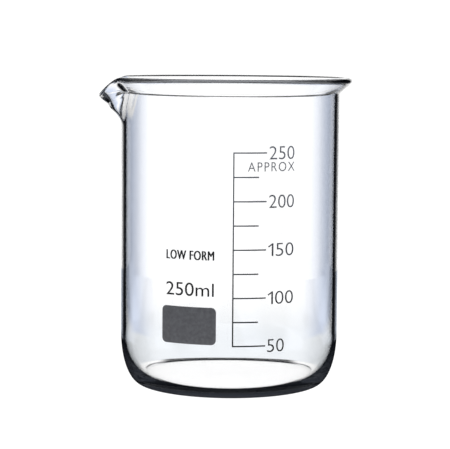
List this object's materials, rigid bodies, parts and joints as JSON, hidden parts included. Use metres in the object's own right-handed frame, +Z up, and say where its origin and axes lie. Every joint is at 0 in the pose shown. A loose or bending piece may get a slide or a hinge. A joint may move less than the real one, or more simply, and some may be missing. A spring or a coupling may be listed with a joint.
{
  "type": "laboratory beaker",
  "caption": "Clear low-form glass beaker with a beaded rim, a pouring spout, a rounded heavy base and a printed volume scale.",
  "frame": {"origin": "on the beaker's axis, at the plane it stands on", "axes": "+Z up along the beaker's axis, -X towards the pouring spout, -Y towards the middle of the printed side"},
  "size_m": [0.0799, 0.0766, 0.0975],
  "materials": {
    "borosilicate_glass": "clear, fire polished",
    "fired_enamel": "dark grey, satin"
  },
  "bodies": {
    "root": {"approx_1_A": "fired_enamel", "approx_2_P": "fired_enamel", "approx_3_P": "fired_enamel", "approx_4_R": "fired_enamel", "approx_5_O": "fired_enamel", "approx_6_X": "fired_enamel", "capacity_1_2": "fired_enamel", "capacity_2_5": "fired_enamel", "capacity_3_0": "fired_enamel", "capacity_4_m": "fired_enamel", "capacity_5_l": "fired_enamel", "glass_vessel": "borosilicate_glass", "graduation_scale": "fired_enamel", "low_form_1_L": "fired_enamel", "low_form_2_O": "fired_enamel", "low_form_3_W": "fired_enamel", "low_form_4_F": "fired_enamel", "low_form_5_O": "fired_enamel", "low_form_6_R": "fired_enamel", "low_form_7_M": "fired_enamel", "marking_panel": "fired_enamel", "numeral_100_1_1": "fired_enamel", "numeral_100_2_0": "fired_enamel", "numeral_100_3_0": "fired_enamel", "numeral_150_1_1": "fired_enamel", "numeral_150_2_5": "fired_enamel", "numeral_150_3_0": "fired_enamel", "numeral_200_1_2": "fired_enamel", "numeral_200_2_0": "fired_enamel", "numeral_200_3_0": "fired_enamel", "numeral_250_1_2": "fired_enamel", "numeral_250_2_5": "fired_enamel", "numeral_250_3_0": "fired_enamel", "numeral_50_1_5": "fired_enamel", "numeral_50_2_0": "fired_enamel"}
  },
  "joints": []
}
